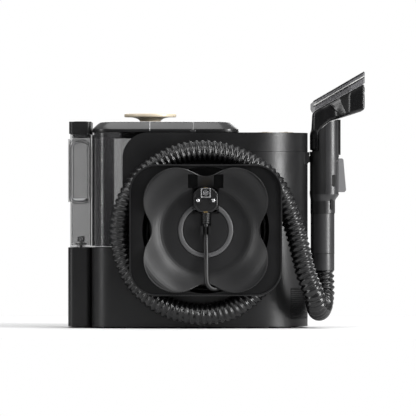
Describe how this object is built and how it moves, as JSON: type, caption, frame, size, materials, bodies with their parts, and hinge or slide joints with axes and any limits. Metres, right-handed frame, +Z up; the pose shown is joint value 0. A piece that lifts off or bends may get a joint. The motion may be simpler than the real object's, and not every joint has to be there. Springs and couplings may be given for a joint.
{
  "type": "carpet cleaner machine",
  "caption": "Portable carpet and upholstery cleaner with lift-off clean and waste tanks, a cable drum with clover dish, a wrapped suction hose and a docked trigger wand.",
  "frame": {"origin": "on the floor under the centre of the machine's box, hose, lead and plug left out", "axes": "+Z up, +X to the rear where the wand is docked, +Y away from the cable drum"},
  "size_m": [0.372, 0.2375, 0.3215],
  "materials": {
    "frame_black": "matt",
    "shell_black": "satin, fine texture",
    "drum_black": "matt",
    "dish_grey": "satin",
    "gloss_black": "gloss",
    "smoky_clear": "smoky, clear",
    "clear": "clear",
    "champagne": "champagne gold, satin",
    "wand_black": "matt",
    "wand_grey": "satin",
    "trigger_grey": "satin",
    "rubber_black": "matt",
    "hose_black": "satin, ribbed",
    "lead_black": "satin",
    "plug_black": "satin",
    "inner_grey": "satin",
    "white_plastic": "satin",
    "float_orange": "satin",
    "board_green": "satin",
    "steel": "satin",
    "brass": "satin",
    "aluminium": "satin"
  },
  "bodies": {
    "root": {"chassis": "frame_black", "feet": "rubber_black", "side_shell_near": "shell_black", "side_shell_far": "shell_black", "rear_top_cover": "shell_black", "nose_base": "shell_black", "tank_bay": "frame_black", "outlet_seal": "rubber_black", "exhaust_grille": "shell_black", "motor_housing": "inner_grey", "vacuum_motor": "steel", "motor_mount": "rubber_black", "water_pump": "inner_grey", "suction_duct": "inner_grey", "control_board": "board_green", "drum_core": "drum_black", "drum_flange": "drum_black", "winding_dish": "dish_grey", "dish_post": "drum_black", "plug_holder": "drum_black", "drum_screws": "steel", "hose_port": "drum_black", "dock_bracket": "shell_black", "suction_hose": "hose_black", "mains_lead": "lead_black", "lead_coil": "lead_black", "lead_gland": "lead_black", "plug": "plug_black", "plug_relief": "lead_black"},
    "fan": {"fan_impeller": "aluminium", "fan_shaft": "steel"},
    "power_button": {"power_button": "champagne"},
    "mode_button": {"mode_button": "champagne"},
    "clean_tank": {"clean_tank": "smoky_clear", "valve_spring": "steel"},
    "clean_tank_cap": {"clean_tank_cap": "gloss_black"},
    "tank_valve": {"tank_valve": "white_plastic"},
    "waste_tank": {"waste_tank": "smoky_clear", "separator_duct": "inner_grey", "float_cage": "inner_grey"},
    "float": {"float": "float_orange"},
    "waste_lid": {"lid_front": "gloss_black", "lid_rear": "gloss_black", "lid_seal": "rubber_black"},
    "lid_knob": {"lid_knob": "champagne"},
    "wand": {"wand_shell_left": "wand_black", "wand_shell_right": "wand_grey", "wand_tube": "wand_grey", "hose_cuff": "wand_grey", "trigger_pin": "steel", "trigger_spring": "steel", "spray_valve": "white_plastic"},
    "trigger": {"trigger": "trigger_grey"},
    "nozzle_latch": {"nozzle_latch": "wand_black"},
    "nozzle": {"nozzle_body": "gloss_black", "nozzle_cover": "clear", "mouth_strip": "rubber_black", "spray_tip": "brass"}
  },
  "joints": [
    {"name": "fan_spin", "type": "hinge", "parent": "root", "child": "fan", "pos_m": [-0.07, 0.03, 0.07], "axis": [0, 0, 1], "continuous": true},
    {"name": "power_press", "type": "slide", "parent": "root", "child": "power_button", "axis": [0, 0, -1], "range_m": [0, 0.001], "stiffness_N_per_m": 400, "springref_m": -0.001},
    {"name": "mode_press", "type": "slide", "parent": "root", "child": "mode_button", "axis": [0, 0, -1], "range_m": [0, 0.001], "stiffness_N_per_m": 400, "springref_m": -0.001},
    {"name": "clean_tank_lift", "type": "slide", "parent": "root", "child": "clean_tank", "axis": [0, 0, 1], "range_m": [0, 0.18]},
    {"name": "clean_cap_lift", "type": "slide", "parent": "clean_tank", "child": "clean_tank_cap", "axis": [0, 0, 1], "range_m": [0, 0.03]},
    {"name": "valve_lift", "type": "slide", "parent": "clean_tank", "child": "tank_valve", "axis": [0, 0, 1], "range_m": [0, 0.003], "stiffness_N_per_m": 300, "springref_m": -0.002, "deforming": ["valve_spring"]},
    {"name": "waste_tank_lift", "type": "slide", "parent": "root", "child": "waste_tank", "axis": [0, 0, 1], "range_m": [0, 0.16]},
    {"name": "float_rise", "type": "slide", "parent": "waste_tank", "child": "float", "axis": [0, 0, 1], "range_m": [0, 0.018]},
    {"name": "waste_lid_lift", "type": "slide", "parent": "waste_tank", "child": "waste_lid", "axis": [0, 0, 1], "range_m": [0, 0.04]},
    {"name": "knob_turn", "type": "hinge", "parent": "waste_lid", "child": "lid_knob", "pos_m": [-0.0835, 0.0215, 0.26], "axis": [0, 0, 1], "range_deg": [0, 90]},
    {"name": "wand_lift", "type": "slide", "parent": "root", "child": "wand", "axis": [0, 0, 1], "range_m": [0, 0.035]},
    {"name": "trigger_pull", "type": "hinge", "parent": "wand", "child": "trigger", "pos_m": [0.1518, 0, 0.2095], "axis": [0, 1, 0], "range_deg": [0, 6], "stiffness_Nm_per_rad": 0.3, "springref_deg": -11.46},
    {"name": "latch_press", "type": "slide", "parent": "wand", "child": "nozzle_latch", "axis": [-1, 0, 0], "range_m": [0, 0.0015], "stiffness_N_per_m": 400, "springref_m": -0.001},
    {"name": "nozzle_pull_off", "type": "slide", "parent": "wand", "child": "nozzle", "axis": [0, 0, 1], "range_m": [0, 0.045]}
  ]
}
